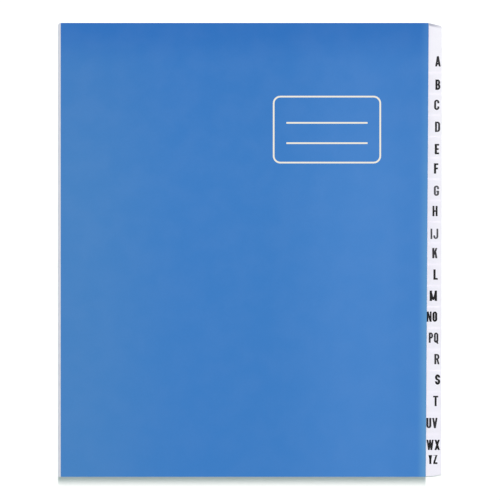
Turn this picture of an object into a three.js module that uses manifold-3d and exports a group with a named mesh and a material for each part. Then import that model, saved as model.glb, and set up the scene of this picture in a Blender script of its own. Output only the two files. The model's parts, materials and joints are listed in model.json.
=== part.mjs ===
// Alphabetical desk sorter, closed and lying on its back cover.
// Millimetres. X runs from the spine to the tabs, Y up the sheets, Z up through the stack.
// The origin is the middle of the footprint, on the surface that the back cover lies on.
import * as THREE from 'three';
import { mergeVertices } from 'three/addons/utils/BufferGeometryUtils.js';
import Module from 'manifold-3d';

const wasm = await Module();
wasm.setup();

// Overall size
const OVERALL_WIDTH = 255.4;
const SHEET_HEIGHT = 302;

// Covers: board whose fore edge is cut a little out of square
const COVER_BOARD = 0.8;
const COVER_SETBACK_LEFT = 1.9;
const COVER_SETBACK_TOP_RIGHT = 8.7;
const COVER_SETBACK_BOTTOM_RIGHT = 10.7;
const COVER_CORNER_RADIUS = 0.6;

// Gusset: one strip of stout paper folded like a bellows
const GUSSET_PAPER = 0.12;
const PLEAT_DEPTH = 14;
const PLEAT_GAP = 0.06;
const CREASE_GAP = 0.06;
const CREASE_INSET = 0.03;
const GLUE_LINE = 0.03;
const GUSSET_CORNER_RADIUS = 1.9;
const OUTER_FOLD_STEPS = 8;
const INNER_FOLD_STEPS = 4;

// Dividers: card sheets, each with one tab lower down than the one before
const DIVIDER_CARD = 0.32;
const DIVIDER_NAMES = ['a', 'b', 'c', 'd', 'e', 'f', 'g', 'h', 'ij', 'k',
  'l', 'm', 'no', 'pq', 'r', 's', 't', 'uv', 'wx', 'yz'];
const TAB_HEIGHT = 32.8;
const TAB_DEPTH = 13;
const TAB_SHOULDER_RUN = 9;
const TAB_SHOULDER_DROP = 2;
const TAB_CORNER_RADIUS = 1;
const TAB_ROOT_RADIUS = 2;
const LAST_TAB_EASE = 1.2;
const DIVIDER_SPINE_CORNER = 3;

// Finishes
const coverBoard = new THREE.MeshStandardMaterial({ color: 0x4382c4, roughness: 0.45, metalness: 0 });
const gussetPaper = new THREE.MeshStandardMaterial({ color: 0xe4e5e8, roughness: 0.8, metalness: 0 });
const dividerCard = new THREE.MeshStandardMaterial({ color: 0xf4f2f9, roughness: 0.7, metalness: 0 });

// Places worked out from the sizes
const LEFT = -OVERALL_WIDTH / 2;
const RIGHT = OVERALL_WIDTH / 2;
const TOP = SHEET_HEIGHT / 2;
const BOTTOM = -SHEET_HEIGHT / 2;
const PLEAT_RIGHT = LEFT + PLEAT_DEPTH;
const dividerCount = DIVIDER_NAMES.length;
const innerFoldCount = dividerCount + 1;

// Distances between the middles of two neighbouring pleat panels
const innerFoldPitch = GUSSET_PAPER + PLEAT_GAP;
const outerFoldPitch = GUSSET_PAPER + DIVIDER_CARD + 2 * GLUE_LINE;
const pleatsHeight = innerFoldCount * innerFoldPitch + dividerCount * outerFoldPitch;

// Heights up the stack, from the back cover to the front cover
const backPanelBottom = COVER_BOARD + GLUE_LINE;
const lowestPanelMiddle = backPanelBottom + GUSSET_PAPER + CREASE_GAP + GUSSET_PAPER / 2;
const highestPanelMiddle = lowestPanelMiddle + pleatsHeight;
const frontPanelBottom = highestPanelMiddle + GUSSET_PAPER / 2 + CREASE_GAP;
const frontCoverBottom = frontPanelBottom + GUSSET_PAPER + GLUE_LINE;

// The covers' hinge creases: their middle line, and the edge of the panels on either side of it
const creaseX = LEFT + GUSSET_PAPER + CREASE_GAP / 2;
const creasePanelLeft = creaseX + CREASE_INSET;

// The outer folds' bend, and the line through its middle where a divider's edge sits
const outerFoldRadius = outerFoldPitch / 2;
const innerFoldRadius = innerFoldPitch / 2;
const outerFoldX = LEFT + outerFoldRadius + GUSSET_PAPER / 2;
const innerFoldX = PLEAT_RIGHT - innerFoldRadius - GUSSET_PAPER / 2;

function extrude(shape, depth, curveSegments) {
  return new THREE.ExtrudeGeometry(shape, { depth, bevelEnabled: false, curveSegments });
}

function toManifold(geometry) {
  const bare = geometry.index ? geometry.toNonIndexed() : geometry.clone();
  bare.deleteAttribute('normal');
  bare.deleteAttribute('uv');
  const merged = mergeVertices(bare, 1e-5);
  return new wasm.Manifold(new wasm.Mesh({
    numProp: 3,
    vertProperties: new Float32Array(merged.attributes.position.array),
    triVerts: new Uint32Array(merged.index.array),
  }));
}

function fromManifold(solid) {
  const mesh = solid.getMesh();
  const geometry = new THREE.BufferGeometry();
  geometry.setAttribute('position', new THREE.BufferAttribute(mesh.vertProperties, 3));
  geometry.setIndex(new THREE.BufferAttribute(mesh.triVerts, 1));
  const flat = geometry.toNonIndexed();
  flat.computeVertexNormals();
  return flat;
}

// A cover's outline, seen from the front: upright at the spine and slanting at the fore edge
function coverOutline() {
  const left = LEFT + COVER_SETBACK_LEFT;
  const topRight = RIGHT - COVER_SETBACK_TOP_RIGHT;
  const bottomRight = RIGHT - COVER_SETBACK_BOTTOM_RIGHT;
  const r = COVER_CORNER_RADIUS;
  const slant = (topRight - bottomRight) / SHEET_HEIGHT;
  const shape = new THREE.Shape();
  shape.moveTo(left + r, BOTTOM);
  shape.lineTo(bottomRight - r, BOTTOM);
  shape.quadraticCurveTo(bottomRight, BOTTOM, bottomRight + slant * r, BOTTOM + r);
  shape.lineTo(topRight - slant * r, TOP - r);
  shape.quadraticCurveTo(topRight, TOP, topRight - r, TOP);
  shape.lineTo(left + r, TOP);
  shape.absarc(left + r, TOP - r, r, Math.PI / 2, Math.PI, false);
  shape.lineTo(left, BOTTOM + r);
  shape.absarc(left + r, BOTTOM + r, r, Math.PI, 1.5 * Math.PI, false);
  return shape;
}

// The gusset's end panel, glued inside a cover and creased at its left edge
function hingePanelOutline() {
  const r = GUSSET_CORNER_RADIUS;
  const shape = new THREE.Shape();
  shape.moveTo(creasePanelLeft, BOTTOM);
  shape.lineTo(PLEAT_RIGHT, BOTTOM);
  shape.lineTo(PLEAT_RIGHT, TOP);
  shape.lineTo(creasePanelLeft + r, TOP);
  shape.absarc(creasePanelLeft + r, TOP - r, r, Math.PI / 2, Math.PI, false);
  return shape;
}

// A divider: a full-height sheet with its one tab at the right, its corners clear of the gusset's
function dividerOutline(index) {
  const tabPitch = (SHEET_HEIGHT - TAB_HEIGHT) / (dividerCount - 1);
  const tabTop = TOP - index * tabPitch;
  const tabBottom = tabTop - TAB_HEIGHT;
  const bodyRight = RIGHT - TAB_DEPTH;
  const shoulderX = RIGHT - TAB_SHOULDER_RUN;
  const first = index === 0;
  const last = index === dividerCount - 1;
  const r = TAB_CORNER_RADIUS;
  const root = TAB_ROOT_RADIUS;
  const shape = new THREE.Shape();
  shape.moveTo(outerFoldX + DIVIDER_SPINE_CORNER, BOTTOM);
  if (last) {
    shape.lineTo(shoulderX, BOTTOM);
    shape.quadraticCurveTo((shoulderX + RIGHT) / 2, BOTTOM, RIGHT, BOTTOM + LAST_TAB_EASE);
  } else {
    shape.lineTo(bodyRight, BOTTOM);
    shape.lineTo(bodyRight, tabBottom - root);
    shape.quadraticCurveTo(bodyRight, tabBottom, bodyRight + root, tabBottom);
    shape.lineTo(RIGHT - r, tabBottom);
    shape.absarc(RIGHT - r, tabBottom + r, r, 1.5 * Math.PI, 2 * Math.PI, false);
  }
  shape.lineTo(RIGHT, tabTop - TAB_SHOULDER_DROP - r);
  shape.quadraticCurveTo(RIGHT, tabTop - TAB_SHOULDER_DROP, RIGHT - r,
    tabTop - TAB_SHOULDER_DROP * (1 - r / TAB_SHOULDER_RUN));
  shape.lineTo(shoulderX, tabTop);
  if (!first) {
    shape.lineTo(bodyRight, tabTop);
    shape.lineTo(bodyRight, TOP);
  }
  shape.lineTo(outerFoldX + DIVIDER_SPINE_CORNER, TOP);
  shape.lineTo(outerFoldX, TOP - DIVIDER_SPINE_CORNER);
  shape.lineTo(outerFoldX, BOTTOM + DIVIDER_SPINE_CORNER);
  return shape;
}

// One bend of the strip: points round a fold's middle, from the panel above to the panel below
function foldPoints(centreX, centreZ, radius, side, steps) {
  const points = [];
  for (let step = 0; step <= steps; step += 1) {
    const turn = Math.PI * (step / steps);
    points.push(new THREE.Vector2(
      centreX + side * radius * Math.sin(turn),
      centreZ + radius * Math.cos(turn),
    ));
  }
  return points;
}

// One face of the folded strip from the front crease down to the back crease. A shift of +1 is
// the face on top of the first panel, and -1 the face beneath it.
function stripFace(shift) {
  const half = GUSSET_PAPER / 2;
  const points = [new THREE.Vector2(creasePanelLeft, highestPanelMiddle + shift * half)];
  let z = highestPanelMiddle;
  for (let fold = 0; fold < innerFoldCount; fold += 1) {
    const innerMiddle = z - innerFoldPitch / 2;
    points.push(...foldPoints(innerFoldX, innerMiddle, innerFoldRadius + shift * half, 1, INNER_FOLD_STEPS));
    z -= innerFoldPitch;
    if (fold < dividerCount) {
      const outerMiddle = z - outerFoldPitch / 2;
      points.push(...foldPoints(outerFoldX, outerMiddle, outerFoldRadius - shift * half, -1, OUTER_FOLD_STEPS));
      z -= outerFoldPitch;
    }
  }
  points.push(new THREE.Vector2(creasePanelLeft, z - shift * half));
  return points;
}

// The wedge of space outside the rounded corner that is trimmed off every outer fold at once
function cornerTrim() {
  const r = GUSSET_CORNER_RADIUS;
  const over = r;
  const shape = new THREE.Shape();
  shape.moveTo(LEFT, TOP - r);
  shape.absarc(LEFT + r, TOP - r, r, Math.PI, Math.PI / 2, true);
  shape.lineTo(LEFT + r, TOP + over);
  shape.lineTo(LEFT - over, TOP + over);
  shape.lineTo(LEFT - over, TOP - r);
  const block = extrude(shape, frontPanelBottom - backPanelBottom, 6);
  block.translate(0, 0, backPanelBottom);
  return block;
}

function gussetGeometry() {
  const outline = [...stripFace(-1), ...stripFace(1).reverse()];
  const strip = extrude(new THREE.Shape(outline), SHEET_HEIGHT, 1);
  strip.rotateX(Math.PI / 2);
  strip.translate(0, TOP, 0);
  return fromManifold(toManifold(strip).subtract(toManifold(cornerTrim())));
}

function flatPiece(name, shape, thickness, bottomZ, material) {
  const piece = new THREE.Mesh(extrude(shape, thickness, 4), material);
  piece.name = name;
  piece.position.z = bottomZ;
  return piece;
}

// The middle of the card that the gusset's outer fold number `index` grips, counted from the front
function dividerMiddle(index) {
  const firstFold = highestPanelMiddle - innerFoldPitch - outerFoldPitch / 2;
  return firstFold - index * (innerFoldPitch + outerFoldPitch);
}

function buildFrontCover() {
  const assembly = new THREE.Group();
  assembly.add(flatPiece('front_cover', coverOutline(), COVER_BOARD, frontCoverBottom, coverBoard));
  assembly.add(flatPiece('front_hinge_panel', hingePanelOutline(), GUSSET_PAPER, frontPanelBottom, gussetPaper));
  return assembly;
}

function buildBackCover() {
  const assembly = new THREE.Group();
  assembly.add(flatPiece('back_cover', coverOutline(), COVER_BOARD, 0, coverBoard));
  assembly.add(flatPiece('back_hinge_panel', hingePanelOutline(), GUSSET_PAPER, backPanelBottom, gussetPaper));
  return assembly;
}

function buildBlock() {
  const assembly = new THREE.Group();
  const gusset = new THREE.Mesh(gussetGeometry(), gussetPaper);
  gusset.name = 'gusset';
  assembly.add(gusset);
  DIVIDER_NAMES.forEach((letters, index) => {
    const bottomZ = dividerMiddle(index) - DIVIDER_CARD / 2;
    assembly.add(flatPiece(`divider_${letters}`, dividerOutline(index), DIVIDER_CARD, bottomZ, dividerCard));
  });
  return assembly;
}

const group = new THREE.Group();
group.add(buildBackCover());
group.add(buildBlock());
group.add(buildFrontCover());

export default group;
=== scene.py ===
"""Looks of the alphabetical desk sorter: board, card and paper finishes, index print and studio."""

import json
import logging
import math
from dataclasses import dataclass, field, replace
from enum import Enum

import bmesh
import bpy
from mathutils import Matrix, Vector
from mathutils.geometry import delaunay_2d_cdt


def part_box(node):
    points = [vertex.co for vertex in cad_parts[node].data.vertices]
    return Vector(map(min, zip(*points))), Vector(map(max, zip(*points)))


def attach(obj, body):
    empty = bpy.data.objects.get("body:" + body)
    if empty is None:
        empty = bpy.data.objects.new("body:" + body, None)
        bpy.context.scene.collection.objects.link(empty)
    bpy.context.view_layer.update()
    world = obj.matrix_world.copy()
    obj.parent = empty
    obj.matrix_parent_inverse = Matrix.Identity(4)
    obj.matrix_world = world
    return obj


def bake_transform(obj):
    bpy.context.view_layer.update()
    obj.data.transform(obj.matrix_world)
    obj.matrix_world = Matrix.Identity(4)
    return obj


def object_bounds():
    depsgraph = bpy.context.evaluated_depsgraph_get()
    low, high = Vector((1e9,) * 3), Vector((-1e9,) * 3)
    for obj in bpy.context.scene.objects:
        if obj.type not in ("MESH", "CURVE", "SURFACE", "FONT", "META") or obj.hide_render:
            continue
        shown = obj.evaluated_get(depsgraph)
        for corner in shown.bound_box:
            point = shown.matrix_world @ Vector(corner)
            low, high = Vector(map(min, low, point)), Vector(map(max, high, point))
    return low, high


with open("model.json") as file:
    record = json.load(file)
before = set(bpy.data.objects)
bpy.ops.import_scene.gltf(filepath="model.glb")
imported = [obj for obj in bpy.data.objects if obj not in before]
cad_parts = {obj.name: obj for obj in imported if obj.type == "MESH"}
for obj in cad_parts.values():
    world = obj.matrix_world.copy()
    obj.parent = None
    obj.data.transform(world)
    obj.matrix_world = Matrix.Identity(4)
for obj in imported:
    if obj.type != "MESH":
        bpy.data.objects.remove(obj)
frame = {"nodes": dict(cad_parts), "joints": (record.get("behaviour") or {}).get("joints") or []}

log = logging.getLogger("desk_sorter")

MM = 0.001
CAD_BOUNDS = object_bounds()

# A printed film: its thickness, its clearance over the sheet, and how near its points may lie.
FILM = 0.012 * MM
FILM_LIFT = 0.004 * MM
FILM_WELD = 1e-7
# Nearly all of a noise field lies between these values.
NOISE_SPREAD = (0.3, 0.7)
# From a cut edge to a flat face, by how far the surface faces along Z.
FLAT_FACE = (0.3, 0.7)
# The Mix node's sockets for colours, whose names its other kinds of socket share.
MIX_FIRST, MIX_SECOND, MIX_RESULT = 6, 7, 2
# Kind of triangulation that fills the outlines' whole hull and names the outlines of each triangle.
FULL_HULL = 0

Point = tuple[float, float]
Span = tuple[float, float]
Outline = list[Point]
Colour = tuple[float, float, float, float]
Socket = bpy.types.NodeSocket
Material = bpy.types.Material
Source = Socket | float | Colour


def srgb(red: int, green: int, blue: int) -> Colour:
    """Turn an 8-bit screen colour into the linear colour that the shaders take.

    Args:
        red: Red, 0 to 255.
        green: Green, 0 to 255.
        blue: Blue, 0 to 255.

    Returns:
        Linear red, green, blue and an alpha of 1.
    """
    channels = []
    for value in (red, green, blue):
        share = value / 255
        channels.append(share / 12.92 if share <= 0.04045 else ((share + 0.055) / 1.055) ** 2.4)
    return (*channels, 1.0)


class Body(Enum):
    """The rigid bodies that pieces ride on."""

    BLOCK = "block"
    FRONT = "front"
    BACK = "back"


class Slot(Enum):
    """The record's material slots."""

    BOARD = "cover_board"
    PAPER = "gusset_paper"
    CARD = "divider_card"


@dataclass(frozen=True)
class Grain:
    """A noise pattern fixed to a piece.

    Attributes:
        scale: Blobs for each metre.
        detail: Octaves of finer noise.
        swing: How far it shifts up or down what it drives.
        stretch: How much denser it is along X, Y and Z.
    """

    scale: float
    detail: float
    swing: float = 0
    stretch: tuple[float, float, float] = (1, 1, 1)


@dataclass(frozen=True)
class Relief:
    """A fine relief on a surface.

    Attributes:
        grain: Its pattern.
        depth: Its full depth in metres.
        strength: How much of it is felt, 0 to 1.
    """

    grain: Grain
    depth: float
    strength: float


@dataclass
class ShaderSketch:
    """A material under construction, with short calls for the nodes that the finishes share.

    Attributes:
        name: The material's name.
        material: The material itself.
    """

    name: str
    material: Material = field(init=False)

    def __post_init__(self) -> None:
        """Make the empty material with its surface shader and output."""
        self.material = bpy.data.materials.new(self.name)
        self.material.use_nodes = True
        self.tree = self.material.node_tree
        self.tree.nodes.clear()
        self.surface = self.tree.nodes.new("ShaderNodeBsdfPrincipled")
        output = self.tree.nodes.new("ShaderNodeOutputMaterial")
        self.tree.links.new(self.surface.outputs["BSDF"], output.inputs["Surface"])

    def feed(self, socket: Socket, source: Source) -> None:
        """Link a socket, or set its value, whichever the source is.

        Args:
            socket: The input to fill.
            source: An output socket, a number or a colour.
        """
        if isinstance(source, Socket):
            self.tree.links.new(source, socket)
        else:
            socket.default_value = source

    def place(self) -> Socket:
        """Return the point on the piece, in metres in the shared frame."""
        return self.tree.nodes.new("ShaderNodeTexCoord").outputs["Object"]

    def axes(self) -> bpy.types.ShaderNodeSeparateXYZ:
        """Split the point on the piece into X, Y and Z.

        Returns:
            The node whose outputs they are.
        """
        split = self.tree.nodes.new("ShaderNodeSeparateXYZ")
        self.feed(split.inputs[0], self.place())
        return split

    def facing_up(self) -> Socket:
        """Find how far the surface faces along Z.

        Returns:
            The share's socket, 0 on a cut edge and 1 on a flat face.
        """
        geometry = self.tree.nodes.new("ShaderNodeNewGeometry")
        split = self.tree.nodes.new("ShaderNodeSeparateXYZ")
        self.feed(split.inputs[0], geometry.outputs["Normal"])
        return self.combine("ABSOLUTE", split.outputs["Z"])

    def combine(self, operation: str, *values: Source) -> Socket:
        """Work out a number from others with one Math node.

        Args:
            operation: The node's name for the operation.
            values: Its inputs, as sockets or numbers.

        Returns:
            The result's socket.
        """
        node = self.tree.nodes.new("ShaderNodeMath")
        node.operation = operation
        for socket, value in zip(node.inputs, values):
            self.feed(socket, value)
        return node.outputs[0]

    def ease(
        self, value: Source, start: float, end: float, low: float = 0, high: float = 1
    ) -> Socket:
        """Carry a value smoothly from one range to another.

        Args:
            value: The number that drives the change.
            start: Where it gives low.
            end: Where it gives high.
            low: The result at and before start.
            high: The result at and after end.

        Returns:
            The eased number's socket.
        """
        node = self.tree.nodes.new("ShaderNodeMapRange")
        node.interpolation_type = "SMOOTHSTEP"
        flipped = start > end
        bounds = (end, start, high, low) if flipped else (start, end, low, high)
        self.feed(node.inputs["Value"], value)
        for name, number in zip(("From Min", "From Max", "To Min", "To Max"), bounds):
            node.inputs[name].default_value = number
        return node.outputs["Result"]

    def noise(self, grain: Grain) -> Socket:
        """Return a noise field fixed to the piece.

        Args:
            grain: Its pattern.

        Returns:
            The noise, about 0.5 on average.
        """
        mapping = self.tree.nodes.new("ShaderNodeMapping")
        mapping.inputs["Scale"].default_value = grain.stretch
        self.feed(mapping.inputs["Vector"], self.place())
        node = self.tree.nodes.new("ShaderNodeTexNoise")
        node.inputs["Scale"].default_value = grain.scale
        node.inputs["Detail"].default_value = grain.detail
        self.feed(node.inputs["Vector"], mapping.outputs["Vector"])
        return node.outputs["Fac"]

    def mix(self, share: Source, first: Source, second: Source) -> Socket:
        """Mix two colours.

        Args:
            share: How much of the second, 0 to 1.
            first: A colour or its socket.
            second: A colour or its socket.

        Returns:
            The mixed colour's socket.
        """
        node = self.tree.nodes.new("ShaderNodeMix")
        node.data_type = "RGBA"
        self.feed(node.inputs["Factor"], share)
        self.feed(node.inputs[MIX_FIRST], first)
        self.feed(node.inputs[MIX_SECOND], second)
        return node.outputs[MIX_RESULT]

    def scatter(self, grain: Grain, middle: float) -> Socket:
        """Return a number that varies about its middle value by a noise field."""
        low, high = middle - grain.swing, middle + grain.swing
        return self.ease(self.noise(grain), *NOISE_SPREAD, low, high)

    def mottle(self, colour: Source, grain: Grain) -> Socket:
        """Lighten and darken a colour by a noise field.

        Args:
            colour: The colour or its socket.
            grain: The field's pattern, whose swing is a share of the colour's brightness.

        Returns:
            The mottled colour's socket.
        """
        node = self.tree.nodes.new("ShaderNodeHueSaturation")
        self.feed(node.inputs["Color"], colour)
        self.feed(node.inputs["Value"], self.scatter(grain, 1))
        return node.outputs["Color"]

    def paint(self, colour: Source, roughness: Source, specular: float) -> None:
        """Set the surface's look.

        Args:
            colour: Its colour.
            roughness: Its roughness.
            specular: How strongly it mirrors.
        """
        names = ("Base Color", "Roughness", "Specular IOR Level")
        for name, source in zip(names, (colour, roughness, specular)):
            self.feed(self.surface.inputs[name], source)

    def bump(self, relief: Relief) -> None:
        """Give the surface a fine relief.

        Args:
            relief: The relief.
        """
        node = self.tree.nodes.new("ShaderNodeBump")
        node.inputs["Strength"].default_value = relief.strength
        node.inputs["Distance"].default_value = relief.depth
        self.feed(node.inputs["Height"], self.noise(relief.grain))
        self.feed(self.surface.inputs["Normal"], node.outputs["Normal"])


@dataclass(frozen=True)
class BoardFinish:
    """Satin blue laminate over pressed board; its margins carry painted sheen, shade and highlight.

    Attributes:
        left: The cover's spine edge, in metres.
        fore: The middle of its slanting fore edge, in metres.
        top: Its top edge, in metres.
        fore_slant: How much further the fore edge reaches at the top than at the bottom.
        blue: The laminate's colour in the middle of the cover.
        spine_sheen_blue: Its colour at the spine, lighter as painted sheen.
        fore_sheen_blue: Its colour near the fore edge, lighter as painted sheen.
        top_shade_blue: Its colour at the top, darker as painted shade.
        fore_highlight_blue: Its paler colour in the painted highlight along the fore edge.
        core_blue: The board's colour on a cut edge.
        spine_margin: How far the spine's painted sheen reaches.
        fore_margin: How far the fore edge's painted sheen reaches.
        fore_crest: Where that painted sheen is strongest, from the fore edge.
        crest_fall: Between which shares of the crest's distance the painted sheen weakens towards
            the edge.
        fore_rest: What is left of it there.
        top_shades: How far each of the top's two bands of painted shade reaches, and its share at
            the top.
        highlight_band: How wide the painted highlight is along the fore edge.
        highlight_fade: Heights between which that painted highlight fades towards the top.
        highlight_rest: What is left of it at the top.
        roughness: The laminate's roughness.
        edge_dulling: How much rougher a cut edge is.
        specular: How strongly it mirrors.
        fibre: The grain of a cut edge.
        gloss: How the roughness varies.
        cloud: The laminate's broad unevenness.
        speckle: The laminate's fine unevenness.
        relief: The laminate's fine texture.
    """

    left: float
    fore: float
    top: float
    fore_slant: float = 2 * MM
    blue: Colour = srgb(44, 118, 191)
    spine_sheen_blue: Colour = srgb(57, 123, 188)
    fore_sheen_blue: Colour = srgb(57, 125, 197)
    top_shade_blue: Colour = srgb(16, 103, 182)
    fore_highlight_blue: Colour = srgb(84, 146, 199)
    core_blue: Colour = srgb(58, 108, 165)
    spine_margin: float = 95 * MM
    fore_margin: float = 110 * MM
    fore_crest: float = 40 * MM
    crest_fall: Span = (0.25, 0.65)
    fore_rest: float = 0.7
    top_shades: tuple[Span, Span] = ((120 * MM, 0.34), (32 * MM, 0.6))
    highlight_band: float = 6.5 * MM
    highlight_fade: Span = (-60 * MM, 135 * MM)
    highlight_rest: float = 0.25
    roughness: float = 0.55
    edge_dulling: float = 0.35
    specular: float = 0.2
    fibre: Grain = Grain(900, 3, 0.16, (1, 1, 6))
    gloss: Grain = Grain(60, 4, 0.03)
    cloud: Grain = Grain(24, 3, 0.002)
    speckle: Grain = Grain(700, 2, 0.01)
    relief: Relief = Relief(Grain(1400, 4), 0.02 * MM, 0.35)

    def make(self, name: str) -> Material:
        """Build the finish.

        Args:
            name: The material's name.

        Returns:
            The finished material.
        """
        sketch = ShaderSketch(name)
        core = sketch.mottle(self.core_blue, self.fibre)
        flat = sketch.ease(sketch.facing_up(), *FLAT_FACE)
        gloss = sketch.scatter(self.gloss, self.roughness)
        dull = sketch.ease(flat, 0, 1, self.edge_dulling, 0)
        rough = sketch.combine("ADD", gloss, dull)
        sketch.paint(sketch.mix(flat, core, self.face_colour(sketch)), rough, self.specular)
        sketch.bump(self.relief)
        return sketch.material

    def face_colour(self, sketch: ShaderSketch) -> Socket:
        """Return the laminate's colour over the whole cover, with painted sheen, shade and
        highlight.

        Args:
            sketch: The material to draw it in.

        Returns:
            The colour's socket.
        """
        axes = sketch.axes()
        x, y = axes.outputs["X"], axes.outputs["Y"]
        lean = -self.fore_slant / (2 * self.top)
        squared = sketch.combine("MULTIPLY_ADD", y, lean, x)
        # Painted sheen: lighter towards the spine.
        to_spine = sketch.ease(x, self.left + self.spine_margin, self.left)
        face = sketch.mix(to_spine, self.blue, self.spine_sheen_blue)
        # Painted sheen: lighter in a broad band before the fore edge, easing off at the edge
        # itself.
        crest = self.fore - self.fore_crest
        fall_start, fall_end = (crest + self.fore_crest * share for share in self.crest_fall)
        to_crest = sketch.ease(x, self.fore - self.fore_margin, crest)
        past_crest = sketch.ease(x, fall_start, fall_end, 1, self.fore_rest)
        face = sketch.mix(sketch.combine("MULTIPLY", to_crest, past_crest), face, self.fore_sheen_blue)
        # Painted shade: darker towards the top.
        shades = [
            sketch.ease(y, self.top - reach, self.top, 0, share) for reach, share in self.top_shades
        ]
        face = sketch.mix(sketch.combine("ADD", *shades), face, self.top_shade_blue)
        # Painted highlight: a paler band along the slanting fore edge, fading towards the top.
        highlighted = sketch.ease(squared, self.fore - self.highlight_band, self.fore)
        strength = sketch.ease(y, *self.highlight_fade, 1, self.highlight_rest)
        face = sketch.mix(sketch.combine("MULTIPLY", highlighted, strength), face, self.fore_highlight_blue)
        return sketch.mottle(sketch.mottle(face, self.cloud), self.speckle)


@dataclass(frozen=True)
class CardFinish:
    """Smooth index card, a touch violet, with a rougher cut edge.

    Attributes:
        white: The sheet's main colour.
        shade: The colour that it drifts to in patches.
        edge: Its colour on a cut edge.
        roughness: The sheet's roughness.
        specular: How strongly it mirrors.
        edge_grain: The grain of a cut edge.
        gloss: How the roughness varies.
        patches: The pattern of the shade.
        patch_range: Between which noise values the shade comes in.
        speckle: The sheet's fine unevenness.
        relief: The sheet's fine texture.
    """

    white: Colour = srgb(239, 238, 245)
    shade: Colour = srgb(238, 236, 244)
    edge: Colour = srgb(214, 212, 220)
    roughness: float = 0.6
    specular: float = 0.3
    edge_grain: Grain = Grain(1500, 2, 0.06, (1, 1, 4))
    gloss: Grain = Grain(80, 2, 0.05)
    patches: Grain = Grain(110, 3)
    patch_range: Span = (0.35, 0.75)
    speckle: Grain = Grain(1200, 2, 0.008)
    relief: Relief = Relief(Grain(2200, 3), 0.01 * MM, 0.3)

    def make(self, name: str) -> Material:
        """Build the finish.

        Args:
            name: The material's name.

        Returns:
            The finished material.
        """
        sketch = ShaderSketch(name)
        edge = sketch.mottle(self.edge, self.edge_grain)
        flat = sketch.ease(sketch.facing_up(), *FLAT_FACE)
        rough = sketch.scatter(self.gloss, self.roughness)
        sketch.paint(sketch.mix(flat, edge, self.face_colour(sketch)), rough, self.specular)
        sketch.bump(self.relief)
        return sketch.material

    def face_colour(self, sketch: ShaderSketch) -> Socket:
        """Return the sheet's colour.

        Args:
            sketch: The material to draw it in.

        Returns:
            The colour's socket.
        """
        patches = sketch.ease(sketch.noise(self.patches), *self.patch_range)
        face = sketch.mix(patches, self.white, self.shade)
        return sketch.mottle(face, self.speckle)


@dataclass(frozen=True)
class FirstTabShadeFinish(CardFinish):
    """Index card with a soft grey line of painted shade just inside the first tab's sloping upper
    edge.

    Attributes:
        corner: The sheet's highest corner, where its top edge would meet its tab's outer edge.
        run: The slope's length along X.
        drop: The slope's fall along Y.
        line: How far the grey reaches from the edge.
        line_core: The share of that reach where it is at its strongest.
        strength: How strong it is there.
        onset: The share of the slope in which the line comes in.
        fade_start: The share of the slope where it begins to fade.
        fade_rest: What is left of it at the slope's end.
        grey: The colour of the painted shade.
    """

    corner: Point = (0, 0)
    run: float = 9 * MM
    drop: float = 2 * MM
    line: float = 2.3 * MM
    line_core: float = 0.45
    strength: float = 0.8
    onset: float = 0.1
    fade_start: float = 0.2
    fade_rest: float = 0.3
    grey: Colour = srgb(156, 157, 174)

    def face_colour(self, sketch: ShaderSketch) -> Socket:
        """Return the sheet's colour with the grey line of painted shade.

        Args:
            sketch: The material to draw it in.

        Returns:
            The colour's socket.
        """
        axes = sketch.axes()
        x, y = axes.outputs["X"], axes.outputs["Y"]
        # The grey line is painted shade along the tab's sloping upper edge.
        start = self.corner[0] - self.run
        fall = self.drop / self.run
        along = sketch.combine("SUBTRACT", x, start)
        edge_height = sketch.combine("MULTIPLY_ADD", along, -fall, self.corner[1])
        depth = sketch.combine("SUBTRACT", edge_height, y)
        near = sketch.ease(depth, self.line, self.line * self.line_core, 0, self.strength)
        fading = sketch.ease(along, self.run * self.fade_start, self.run, 1, self.fade_rest)
        begun = sketch.ease(along, 0, self.run * self.onset)
        share = sketch.combine("MULTIPLY", sketch.combine("MULTIPLY", near, fading), begun)
        return sketch.mix(share, super().face_colour(sketch), self.grey)


@dataclass(frozen=True)
class GussetFinish:
    """Stout matt paper of the bellows, pale grey with faint fibres; the grey is partly its own tone
    and partly painted shade.

    Attributes:
        pale: The paper's main colour, partly its own light grey and partly painted shade.
        fibre: The fibres' colour.
        roughness: The paper's roughness.
        specular: How strongly it mirrors.
        fibres: The pattern of the fibres, which lie along Y, and how they vary the roughness.
        fibre_range: Between which noise values a fibre comes in.
        cloud: The paper's broad unevenness.
        relief: How the fibres stand out.
    """

    # Partly the paper's own light grey, partly painted shade of the fold beside the cover's edge.
    pale: Colour = srgb(211, 214, 221)
    fibre: Colour = srgb(203, 206, 214)
    roughness: float = 0.8
    specular: float = 0.25
    fibres: Grain = Grain(500, 4, 0.06, (3, 0.5, 3))
    fibre_range: Span = (0.42, 0.7)
    cloud: Grain = Grain(35, 3, 0.006)
    relief: Relief = Relief(Grain(500, 4, 0, (3, 0.5, 3)), 0.015 * MM, 0.4)

    def make(self, name: str) -> Material:
        """Build the finish.

        Args:
            name: The material's name.

        Returns:
            The finished material.
        """
        sketch = ShaderSketch(name)
        fibres = sketch.ease(sketch.noise(self.fibres), *self.fibre_range)
        face = sketch.mottle(sketch.mix(fibres, self.pale, self.fibre), self.cloud)
        sketch.paint(face, sketch.scatter(self.fibres, self.roughness), self.specular)
        sketch.bump(self.relief)
        return sketch.material


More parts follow.
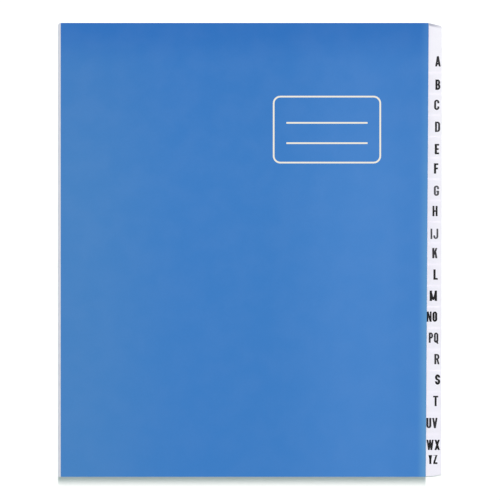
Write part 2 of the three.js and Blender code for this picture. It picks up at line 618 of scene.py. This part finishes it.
@dataclass(frozen=True)
class PrintFinish:
    """Flat printing ink that covers a little unevenly.

    Attributes:
        ink: The ink's colour where it is thickest.
        thin: Its colour where the sheet shows through.
        roughness: The ink's roughness.
        specular: How strongly it mirrors.
        speckle: The pattern of thick and thin ink, and how it varies the roughness.
        speckle_range: Between which noise values the ink thins.
    """

    ink: Colour
    thin: Colour
    roughness: float = 0.55
    specular: float = 0.15
    speckle: Grain = Grain(2600, 3, 0.05)
    speckle_range: Span = (0.52, 0.8)

    def make(self, name: str) -> Material:
        """Build the finish.

        Args:
            name: The material's name.

        Returns:
            The finished material.
        """
        sketch = ShaderSketch(name)
        worn = sketch.ease(sketch.noise(self.speckle), *self.speckle_range)
        colour = sketch.mix(worn, self.ink, self.thin)
        sketch.paint(colour, sketch.scatter(self.speckle, self.roughness), self.specular)
        return sketch.material


class Ink(Enum):
    """How densely a tab's letters were printed."""

    FULL = PrintFinish(srgb(5, 5, 7), srgb(24, 23, 27))
    WORN = PrintFinish(srgb(36, 35, 39), srgb(58, 57, 62))
    FAINT = PrintFinish(srgb(72, 71, 76), srgb(100, 99, 105))


# Widths of the capitals as shares of their height, and the width of those not listed.
PLAIN_WIDTH = 0.5
LETTER_WIDTHS = {
    "A": 0.54, "E": 0.42, "F": 0.43, "I": 0.2, "J": 0.46, "L": 0.42, "M": 0.72, "N": 0.48,
    "O": 0.475, "P": 0.45, "Q": 0.46, "V": 0.52, "W": 0.7, "X": 0.53, "Y": 0.45, "Z": 0.43,
}


def bar(left: float, low: float, right: float, high: float) -> Outline:
    """Draw an upright or level stroke."""
    return [(left, low), (right, low), (right, high), (left, high)]


def arc(centre: Point, half_width: float, half_height: float, turns: list[float]) -> Outline:
    """Place points round an ellipse, at turns from +X in radians; a half below 0 mirrors it."""
    x, y = centre
    return [(x + half_width * math.cos(t), y + half_height * math.sin(t)) for t in turns]


def add_piece(name: str, form: bmesh.types.BMesh, material: Material) -> bpy.types.Object:
    """Turn a form into a piece of the scene.

    Args:
        name: The piece's name.
        form: Its form, which is used up.
        material: Its material.

    Returns:
        The piece.
    """
    bmesh.ops.recalc_face_normals(form, faces=form.faces)
    mesh = bpy.data.meshes.new(name)
    form.to_mesh(mesh)
    form.free()
    mesh.materials.append(material)
    piece = bpy.data.objects.new(name, mesh)
    bpy.context.scene.collection.objects.link(piece)
    log.info("%s: %s", name, material.name)
    return piece


def add_film(name: str, outlines: list[Outline], face: float, ink: Material) -> bpy.types.Object:
    """Join flat outlines, which may overlap, into one thin printed film.

    Args:
        name: The film's name.
        outlines: Closed outlines in metres, counter-clockwise.
        face: The height of the face that it is printed on.
        ink: Its material.

    Returns:
        The film, a closed mesh.
    """
    points: list[Vector] = []
    faces: list[list[int]] = []
    for outline in outlines:
        first = len(points)
        points.extend(Vector(point) for point in outline)
        faces.append(list(range(first, first + len(outline))))
    joined = delaunay_2d_cdt(points, [], faces, FULL_HULL, FILM_WELD, True)
    vertices, _, triangles, _, _, owners = joined
    form = bmesh.new()
    height = face + FILM_LIFT + FILM
    top = [form.verts.new((point.x, point.y, height)) for point in vertices]
    inked = [triangle for triangle, owner in zip(triangles, owners) if owner]
    kept = [form.faces.new([top[i] for i in triangle]) for triangle in inked]
    walls = bmesh.ops.extrude_face_region(form, geom=kept, use_keep_orig=True)
    moved = [item for item in walls["geom"] if isinstance(item, bmesh.types.BMVert)]
    bmesh.ops.translate(form, verts=moved, vec=(0, 0, -FILM))
    loose = [vert for vert in form.verts if not vert.link_faces]
    bmesh.ops.delete(form, geom=loose, context="VERTS")
    return add_piece(name, form, ink)


@dataclass(frozen=True)
class Lettering:
    """Condensed bold capitals, drawn in a box whose height is 1.

    Bare numbers in the letters are places in that box, or shares of a letter's width.

    Attributes:
        stem: Thickness of upright strokes.
        arm: Thickness of level strokes.
        lean: How wide a leaning stroke is where it is cut level.
        crowded: The same in the crowded capitals M, N and W.
        round_height: Height of a letter's round end.
        terminal: How far an open letter's ends run on past the round.
        arc_steps: Straight pieces in a half turn.
        waist: Height of a letter's middle.
        arm_reach: How far a middle arm reaches, as a share of the width.
        bowl_round: The round part of a bowl, as a share of its reach.
    """

    stem: float = 0.215
    arm: float = 0.165
    lean: float = 0.19
    crowded: float = 0.16
    round_height: float = 0.25
    terminal: float = 0.1
    arc_steps: int = 12
    waist: float = 0.5
    arm_reach: float = 0.92
    bowl_round: float = 0.48

    def glyph(self, letter: str) -> tuple[float, list[Outline]]:
        """Draw one capital.

        Args:
            letter: The capital.

        Returns:
            Its width, and its strokes' outlines.
        """
        width = LETTER_WIDTHS.get(letter, PLAIN_WIDTH)
        straight, rounded = self.straight_letters(width), self.round_letters(width)
        return width, (straight | rounded | self.leaning_letters(width))[letter]

    def straight_letters(self, width: float) -> dict[str, list[Outline]]:
        """Draw the capitals that are made of bars.

        Args:
            width: Their width.

        Returns:
            Each capital's strokes.
        """
        stem, arm = self.stem, self.arm
        left_stem = bar(0, 0, stem, 1)
        right_stem = bar(width - stem, 0, width, 1)
        top_arm = bar(0, 1 - arm, width, 1)
        foot_arm = bar(0, 0, width, arm)
        middle_arm = bar(0, self.waist - arm / 2, width * self.arm_reach, self.waist + arm / 2)
        middle_stem = bar((width - stem) / 2, 0, (width + stem) / 2, 1)
        return {
            "E": [left_stem, top_arm, middle_arm, foot_arm],
            "F": [left_stem, top_arm, middle_arm],
            "H": [left_stem, right_stem, middle_arm],
            "I": [middle_stem],
            "L": [left_stem, foot_arm],
            "T": [top_arm, middle_stem],
        }

    def round_letters(self, width: float) -> dict[str, list[Outline]]:
        """Draw the capitals with round parts.

        Args:
            width: Their width.

        Returns:
            Each capital's strokes.
        """
        stem, arm, high, half = self.stem, self.arm, self.round_height, width / 2
        waist = self.waist
        left_stem = bar(0, 0, stem, 1)
        left_side = bar(0, high, stem, 1 - high)
        right_side = bar(width - stem, high, width, 1 - high)
        crown = self.bow((half, 1 - high), half, high, 0, 180)
        cup = self.bow((half, high), half, high, 180, 360)
        upper_end = bar(width - stem, 1 - high - self.terminal, width, 1 - high)
        lower_end = bar(width - stem, high, width, high + self.terminal)
        spur = [bar(half, waist - arm, width, waist), bar(width - stem, high, width, waist)]
        shoulder = self.bow((half, 1 - high), half, high, 0, 90)
        heel = self.bow((half, high), half, high, 270, 360)
        tail = self.slant(width - self.lean * 0.9, width * 0.42, -0.1, 0.22)
        leg = self.slant(width - self.lean, width * 0.4, 0, waist)
        middle = waist - arm / 2
        turn = (1 + arm) / 4
        half_arms = [bar(0, 1 - arm, half, 1), bar(0, 0, half, arm)]
        bowl_foot, leg_bowl_foot, upper_share = 0.42, 0.44, 0.97
        upper_bowl = self.bowl(width * upper_share, middle, 1)
        curl, lap = 8, 5
        upper_round = self.bow((half, 1 - turn), half, turn, -curl, 270 + lap)
        lower_round = self.bow((half, turn), half, turn, 180 - curl, 450 + lap)
        return {
            "B": [left_stem, *upper_bowl, *self.bowl(width, 0, middle + arm)],
            "C": [crown, cup, left_side, upper_end, lower_end],
            "D": [left_stem, *half_arms, shoulder, heel, right_side],
            "G": [crown, cup, left_side, upper_end, *spur],
            "J": [bar(width - stem, high, width, 1), cup, bar(0, high, stem, high + self.terminal)],
            "O": [crown, cup, left_side, right_side],
            "P": [left_stem, *self.bowl(width, bowl_foot, 1)],
            "Q": [crown, cup, left_side, right_side, tail],
            "R": [left_stem, *self.bowl(width, leg_bowl_foot, 1), leg],
            "S": [upper_round, lower_round],
            "U": [bar(0, high, stem, 1), bar(width - stem, high, width, 1), cup],
        }

    def leaning_letters(self, width: float) -> dict[str, list[Outline]]:
        """Draw the capitals with leaning parts.

        Args:
            width: Their width.

        Returns:
            Each capital's strokes.
        """
        stem, arm, lean = self.stem, self.arm, self.lean
        far = width - lean
        middle = far / 2
        thin = replace(self, lean=self.crowded)
        thin_far = width - thin.lean
        thin_middle = thin_far / 2
        left_stem = bar(0, 0, stem, 1)
        right_stem = bar(width - stem, 0, width, 1)
        tie_foot, vee_foot, fork_foot = 0.18, 0.08, 0.42
        left_valley, right_valley = thin_far * 0.27, thin_far * 0.73
        tie = bar(width * 0.25, tie_foot, width * 0.75, tie_foot + arm)
        vee = [thin.slant(thin_middle, head, vee_foot, 1) for head in (0, thin_far)]
        fork = [self.slant(middle, head, fork_foot, 1) for head in (0, far)]
        across = self.slant(0, far, arm * 0.9, 1 - arm * 0.9)
        return {
            "A": [self.slant(0, middle), self.slant(far, middle), tie],
            "K": [left_stem, self.slant(stem * 0.5, far, 0.34, 1), self.slant(far, stem, 0, 0.6)],
            "M": [left_stem, right_stem, *vee],
            "N": [bar(0, 0, thin.lean, 1), bar(thin_far, 0, width, 1), self.slant(far, 0)],
            "V": [self.slant(middle, 0), self.slant(middle, far)],
            "W": [thin.slant(left_valley, 0), thin.slant(left_valley, thin_middle),
                  thin.slant(right_valley, thin_middle), thin.slant(right_valley, thin_far)],
            "X": [self.slant(0, far), self.slant(far, 0)],
            "Y": [bar((width - stem) / 2, 0, (width + stem) / 2, self.waist), *fork],
            "Z": [bar(0, 1 - arm, width, 1), bar(0, 0, width, arm), across],
        }

    def slant(self, foot: float, head: float, low: float = 0, high: float = 1) -> Outline:
        """Draw a leaning stroke cut level, from its foot's left side to its head's."""
        return [(foot, low), (foot + self.lean, low), (head + self.lean, high), (head, high)]

    def bow(
        self, centre: Point, half_width: float, half_height: float, start: float, end: float
    ) -> Outline:
        """Draw a round stroke.

        Args:
            centre: The middle of its ellipse.
            half_width: The outer ellipse's half width.
            half_height: The outer ellipse's half height.
            start: Where it starts, in degrees from +X.
            end: Where it ends.

        Returns:
            The stroke's outline.
        """
        steps = max(3, round(self.arc_steps * (end - start) / 180))
        turns = [math.radians(start + (end - start) * step / steps) for step in range(steps + 1)]
        outer = arc(centre, half_width, half_height, turns)
        return outer + arc(centre, half_width - self.stem, half_height - self.arm, turns[::-1])

    def bowl(self, width: float, low: float, high: float) -> list[Outline]:
        """Draw a bowl that springs from a left stem.

        Args:
            width: How far right it reaches.
            low: Its lowest point.
            high: Its highest point.

        Returns:
            Its strokes' outlines.
        """
        half_height = (high - low) / 2
        half_width = width * self.bowl_round
        middle = (width - half_width, low + half_height)
        return [
            bar(0, high - self.arm, middle[0], high),
            bar(0, low, middle[0], low + self.arm),
            self.bow(middle, half_width, half_height, -90, 90),
        ]


BOLD = Lettering()
HEAVY = Lettering(stem=0.235, arm=0.18, lean=0.205, crowded=0.17)
MEDIUM = Lettering(stem=0.195, arm=0.15, lean=0.175, crowded=0.135)
LIGHT = Lettering(stem=0.168, arm=0.135, lean=0.15, crowded=0.12)


@dataclass(frozen=True)
class IndexPrint:
    """What one tab says and where its print landed.

    Attributes:
        letters: The tab's capitals.
        right_gap: From the print to the tab's right edge, in millimetres.
        baseline: From the tab's lower edge up to the print, in millimetres.
        ink: How densely it is printed.
        width: The print's width, in millimetres.
        lettering: The weight of its capitals.
    """

    letters: str
    right_gap: float
    baseline: float
    ink: Ink
    width: float
    lettering: Lettering = BOLD

    @property
    def node(self) -> str:
        """The divider that carries this tab."""
        return f"divider_{self.letters.lower()}"


INDEX = tuple(IndexPrint(*row) for row in (
    ("A", 0.72, 3.83, Ink.WORN, 3.7),
    ("B", 0.92, 2.45, Ink.FULL, 3.3),
    ("C", 1.58, 3.21, Ink.WORN, 3.5, MEDIUM),
    ("D", 1.06, 2.81, Ink.WORN, 3.4, MEDIUM),
    ("E", 1.72, 2.14, Ink.FULL, 2.9),
    ("F", 2.23, 3.42, Ink.FULL, 2.9),
    ("G", 1.72, 2.78, Ink.FAINT, 3.5, MEDIUM),
    ("H", 2.69, 3.43, Ink.FULL, 3.4, MEDIUM),
    ("IJ", 2.20, 2.39, Ink.FAINT, 5.3, LIGHT),
    ("K", 2.83, 3.74, Ink.WORN, 3.4),
    ("L", 2.53, 3.61, Ink.FULL, 2.9),
    ("M", 3.02, 3.67, Ink.FULL, 4.9, HEAVY),
    ("NO", 2.85, 3.90, Ink.FULL, 7.0),
    ("PQ", 2.08, 4.06, Ink.WORN, 6.4, MEDIUM),
    ("R", 1.35, 3.93, Ink.WORN, 3.4, MEDIUM),
    ("S", 0.83, 4.48, Ink.FULL, 3.5, HEAVY),
    ("T", 2.16, 4.33, Ink.FULL, 3.4, MEDIUM),
    ("UV", 2.59, 3.78, Ink.WORN, 7.5),
    ("WX", 1.00, 3.37, Ink.FULL, 8.9, HEAVY),
    ("YZ", 2.62, 8.20, Ink.FULL, 6.2),
))


@dataclass
class Dividers:
    """The twenty card sheets and the index print on their tabs.

    Attributes:
        cap_height: Height of the capitals.
        letter_gap: Space between two letters, as a share of their height.
        tab_height: Height of one tab.
    """

    cap_height: float = 6.86 * MM
    letter_gap: float = 0.08
    tab_height: float = 32.8 * MM

    def build(self) -> None:
        """Dress the sheets and print every tab."""
        low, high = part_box(INDEX[0].node)
        card = CardFinish().make("index_card")
        first_card_with_shade = FirstTabShadeFinish(corner=(high.x, high.y)).make("first_index_card")
        inks = {ink: ink.value.make(f"index_ink_{ink.name.lower()}") for ink in Ink}
        pitch = (high.y - low.y - self.tab_height) / (len(INDEX) - 1)
        for number, entry in enumerate(INDEX):
            dress(entry.node, card if number else first_card_with_shade)
            lower_edge = high.y - number * pitch - self.tab_height
            self.print_tab(entry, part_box(entry.node)[1], lower_edge, inks[entry.ink])

    def print_tab(
        self, entry: IndexPrint, corner: Vector, lower_edge: float, ink: Material
    ) -> None:
        """Print one tab's letters on its face.

        Args:
            entry: What to print and where.
            corner: The sheet's highest corner.
            lower_edge: Height up the sheet of the tab's lower edge.
            ink: The ink's material.
        """
        strokes: list[Outline] = []
        reach = 0.0
        for letter in entry.letters:
            width, outlines = entry.lettering.glyph(letter)
            for outline in outlines:
                strokes.append([(reach + x, y) for x, y in outline])
            reach += width + self.letter_gap
        reach -= self.letter_gap
        left = corner.x - (entry.right_gap + entry.width) * MM
        low = lower_edge + entry.baseline * MM
        across = entry.width * MM / reach
        cap = self.cap_height
        placed = [[(left + x * across, low + y * cap) for x, y in outline] for outline in strokes]
        piece = add_film(f"index_{entry.letters.lower()}", placed, corner.z, ink)
        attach(piece, Body.BLOCK.value)


def dress(node: str, material: Material) -> None:
    """Give a construction node its finish.

    Args:
        node: The node's name.
        material: The finish.
    """
    mesh = frame["nodes"][node].data
    mesh.materials.clear()
    mesh.materials.append(material)
    log.info("%s: %s", node, material.name)


@dataclass
class TitlePanel:
    """A plain write-on panel printed on the front cover: a round-cornered frame with two rules.

    Attributes:
        middle: The frame's middle.
        width: The frame's outer width.
        height: The frame's outer height.
        corner: The frame's outer corner radius.
        corner_steps: Straight pieces round a corner.
        line: Width of the printed lines.
        rule_length: Length of the two rules.
        rule_heights: Their heights over the frame's middle.
        cream: The ink.
    """

    middle: Point = (51.3 * MM, 80 * MM)
    width: float = 72 * MM
    height: float = 45 * MM
    corner: float = 5 * MM
    corner_steps: int = 8
    line: float = 1.1 * MM
    rule_length: float = 54 * MM
    rule_heights: Span = (4.5 * MM, -9 * MM)
    cream: PrintFinish = PrintFinish(srgb(238, 232, 216), srgb(222, 220, 212))

    def corner_band(self, side_x: int, side_y: int) -> Outline:
        """Return the frame's round corner on one side.

        Args:
            side_x: 1 at the right, -1 at the left.
            side_y: 1 at the top, -1 at the bottom.

        Returns:
            The corner's outline.
        """
        centre = (
            self.middle[0] + side_x * (self.width / 2 - self.corner),
            self.middle[1] + side_y * (self.height / 2 - self.corner),
        )
        turns = [math.pi / 2 * step / self.corner_steps for step in range(self.corner_steps + 1)]
        inner = self.corner - self.line
        outline = arc(centre, side_x * self.corner, side_y * self.corner, turns)
        outline += arc(centre, side_x * inner, side_y * inner, turns[::-1])
        return outline if side_x * side_y > 0 else outline[::-1]

    def build(self) -> None:
        """Print the panel on the front cover."""
        half_width, half_height = self.width / 2, self.height / 2
        middle_x, middle_y = self.middle
        bands = [self.corner_band(side_x, side_y) for side_x in (-1, 1) for side_y in (-1, 1)]
        level_run = half_width - self.corner
        upright_run = half_height - self.corner
        for low in (middle_y - half_height, middle_y + half_height - self.line):
            bands.append(bar(middle_x - level_run, low, middle_x + level_run, low + self.line))
        for left in (middle_x - half_width, middle_x + half_width - self.line):
            right = left + self.line
            bands.append(bar(left, middle_y - upright_run, right, middle_y + upright_run))
        half_rule = self.rule_length / 2
        for height in self.rule_heights:
            low = middle_y + height - self.line / 2
            bands.append(bar(middle_x - half_rule, low, middle_x + half_rule, low + self.line))
        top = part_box("front_cover")[1].z
        piece = add_film("title_panel", bands, top, self.cream.make("panel_cream"))
        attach(piece, Body.FRONT.value)


@dataclass
class Covers:
    """The front and back board covers."""

    def build(self) -> None:
        """Dress both covers."""
        low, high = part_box("front_cover")
        finish = BoardFinish(left=low.x, fore=high.x - BoardFinish.fore_slant / 2, top=high.y)
        for node in ("front_cover", "back_cover"):
            dress(node, finish.make(f"{node}_laminate"))


@dataclass
class Gusset:
    """The folded paper bellows with its end panels, and the creases that join them.

    Attributes:
        paper: Thickness of the paper.
        bend_radius: Outer radius of a crease's bend.
        bend_steps: Straight pieces round a bend.
        corner: Radius of the trimmed top corner.
        rows: Pieces along a crease.
    """

    paper: float = 0.12 * MM
    bend_radius: float = 0.15 * MM
    bend_steps: int = 10
    corner: float = 1.9 * MM
    rows: int = 24

    def build(self) -> None:
        """Dress the paper and add both hinge creases."""
        paper = GussetFinish().make("gusset_paper")
        for node in ("gusset", "front_hinge_panel", "back_hinge_panel"):
            dress(node, paper)
        hinges = {joint["name"]: Vector(joint["pos_m"]) for joint in frame["joints"]}
        self.crease("front_crease", hinges["front_cover_hinge"], paper)
        self.crease("back_crease", hinges["back_cover_hinge"], paper)

    def crease(self, name: str, axis: Vector, paper: Material) -> None:
        """Bend a skin of paper round a hinge line, from the bellows to a cover's end panel.

        Args:
            name: The new piece's name.
            axis: A point on the hinge line.
            paper: The paper's material.
        """
        low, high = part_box("gusset")
        top = high.y - self.corner
        form = bmesh.new()
        radii = (self.bend_radius, self.bend_radius - self.paper)
        turns = [math.pi * (0.5 + step / self.bend_steps) for step in range(self.bend_steps + 1)]
        grid = []
        for row in range(self.rows + 1):
            y = low.y + (top - low.y) * row / self.rows
            loops = []
            for radius in radii:
                bend = arc((axis.x, axis.z), radius, radius, turns)
                loops.append([form.verts.new((x, y, z)) for x, z in bend])
            grid.append(loops)
        for lower, upper in zip(grid, grid[1:]):
            for step in range(self.bend_steps):
                for near, far in zip(lower, upper):
                    form.faces.new((near[step], near[step + 1], far[step + 1], far[step]))
            for step in (0, self.bend_steps):
                form.faces.new((lower[0][step], lower[1][step], upper[1][step], upper[0][step]))
        for outer, inner in (grid[0], grid[-1]):
            for step in range(self.bend_steps):
                form.faces.new((outer[step], outer[step + 1], inner[step + 1], inner[step]))
        piece = add_piece(name, form, paper)
        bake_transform(piece)


@dataclass
class Studio:
    """The floor, the lamps and the camera that looks straight down on the sorter.

    Attributes:
        photo_width: What the photograph's width covers at the front cover's height.
        middle: The point of the sorter that lies in the picture's middle.
        camera_height: How far the camera is above the front cover.
        camera_reach: How far it sees.
        sensor: Its sensor's width, in millimetres.
        key_tilt: How far the key lamp leans towards the sheets' top edge, in degrees.
        key_distance: How far the key lamp is.
        key_size: The lamp's width and length.
        key_share: The part of the light that the lamp gives.
        key_colour: The lamp's colour.
        sky_colour: The surroundings' light, a little cooler than the lamp.
        floor_lift: The even glow that the camera sees on the floor.
        floor_glow: That glow's colour.
        floor_colour: The floor's colour.
        floor_half: Half the floor's width.
        floor_drop: How far it lies below the back cover, so that the two faces don't meet.
    """

    photo_width: float = 332.62 * MM
    middle: Point = (0.1 * MM, -0.087 * MM)
    camera_height: float = 6
    camera_reach: float = 24
    sensor: float = 36
    key_tilt: float = 15
    key_distance: float = 8
    key_size: Point = (0.5, 3.0)
    key_share: float = 0.76
    key_colour: Colour = (1.07, 1.0, 0.99, 1.0)
    sky_colour: Colour = (0.25, 0.31, 0.325, 1.0)
    floor_lift: float = 0.16
    floor_glow: Colour = (1.0, 1.2, 1.0, 1.0)
    floor_colour: Colour = srgb(245, 245, 245)
    floor_half: float = 6
    floor_drop: float = 0.02 * MM

    def build(self) -> None:
        """Set up the whole studio."""
        self.make_floor()
        self.make_sky()
        self.make_key()
        self.make_camera()
        bpy.context.scene.view_settings.view_transform = "Standard"
        log.info("studio: floor, sky, key lamp and camera")

    def make_floor(self) -> None:
        """Lay the pale floor, which keeps the sorter's shadow."""
        mesh = bpy.data.meshes.new("floor")
        half = self.floor_half
        corners = [(x, y, -self.floor_drop) for x, y in bar(-half, -half, half, half)]
        mesh.from_pydata(corners, [], [(0, 1, 2, 3)])
        floor = bpy.data.objects.new("floor", mesh)
        bpy.context.scene.collection.objects.link(floor)
        material = bpy.data.materials.new("floor_pale")
        material.use_nodes = True
        tree = material.node_tree
        tree.nodes.clear()
        diffuse = tree.nodes.new("ShaderNodeBsdfDiffuse")
        diffuse.inputs["Color"].default_value = self.floor_colour
        glow = tree.nodes.new("ShaderNodeEmission")
        glow.inputs["Color"].default_value = self.floor_glow
        path = tree.nodes.new("ShaderNodeLightPath")
        scale = tree.nodes.new("ShaderNodeMath")
        scale.operation = "MULTIPLY"
        scale.inputs[1].default_value = self.floor_lift
        tree.links.new(path.outputs["Is Camera Ray"], scale.inputs[0])
        tree.links.new(scale.outputs[0], glow.inputs["Strength"])
        both = tree.nodes.new("ShaderNodeAddShader")
        output = tree.nodes.new("ShaderNodeOutputMaterial")
        tree.links.new(diffuse.outputs[0], both.inputs[0])
        tree.links.new(glow.outputs[0], both.inputs[1])
        tree.links.new(both.outputs[0], output.inputs["Surface"])
        mesh.materials.append(material)

    def make_sky(self) -> None:
        """Light the room evenly, and show the camera a white background."""
        world = bpy.data.worlds.new("studio_sky")
        bpy.context.scene.world = world
        world.use_nodes = True
        tree = world.node_tree
        tree.nodes.clear()
        path = tree.nodes.new("ShaderNodeLightPath")
        seen = tree.nodes.new("ShaderNodeMix")
        seen.data_type = "RGBA"
        seen.inputs[MIX_FIRST].default_value = self.sky_colour
        seen.inputs[MIX_SECOND].default_value = (1, 1, 1, 1)
        background = tree.nodes.new("ShaderNodeBackground")
        output = tree.nodes.new("ShaderNodeOutputWorld")
        tree.links.new(path.outputs["Is Camera Ray"], seen.inputs["Factor"])
        tree.links.new(seen.outputs[MIX_RESULT], background.inputs["Color"])
        tree.links.new(background.outputs[0], output.inputs["Surface"])

    def make_key(self) -> None:
        """Hang the long soft lamp that throws the shadow below the sorter's lower edge.

        The sheets are lit by its twin, for which they cast no shadow on each other, because the
        light that real card lets through and scatters leaves the steps between tabs almost unseen.
        """
        sheets = bpy.data.collections.new("sheets")
        all_but_sheets = bpy.data.collections.new("all_but_sheets")
        for entry in INDEX:
            for group in (sheets, all_but_sheets):
                group.objects.link(frame["nodes"][entry.node])
        for member in all_but_sheets.collection_objects:
            member.light_linking.link_state = "EXCLUDE"
        lamp = bpy.data.lights.new("key", "AREA")
        lamp.shape = "ELLIPSE"
        lamp.size, lamp.size_y = self.key_size
        lamp.color = self.key_colour[:3]
        # The power at which white card under this lamp alone is as bright as key_share.
        lamp.energy = self.key_share * (math.pi * self.key_distance) ** 2
        tilt = math.radians(self.key_tilt)
        place = (0, self.key_distance * math.sin(tilt), self.key_distance * math.cos(tilt))
        uses = (("key", all_but_sheets, None), ("sheet_key", sheets, all_but_sheets))
        for name, lit, shading in uses:
            key = bpy.data.objects.new(name, lamp)
            key.location = place
            key.rotation_euler = (-tilt, 0, 0)
            key.visible_camera = False
            key.light_linking.receiver_collection = lit
            key.light_linking.blocker_collection = shading
            bpy.context.scene.collection.objects.link(key)

    def make_camera(self) -> None:
        """Set the camera straight above the sorter, as the photograph was taken."""
        top = CAD_BOUNDS[1].z
        data = bpy.data.cameras.new("camera")
        data.sensor_width = self.sensor
        data.lens = self.sensor * self.camera_height / self.photo_width
        data.clip_end = self.camera_reach
        camera = bpy.data.objects.new("camera", data)
        camera.location = (*self.middle, top + self.camera_height)
        bpy.context.scene.collection.objects.link(camera)
        bpy.context.scene.camera = camera


def main() -> None:
    """Build and dress every part of the sorter, then the studio."""
    logging.basicConfig(level=logging.INFO, format="%(message)s")
    Covers().build()
    TitlePanel().build()
    Gusset().build()
    Dividers().build()
    Studio().build()


if __name__ == "__main__":
    main()
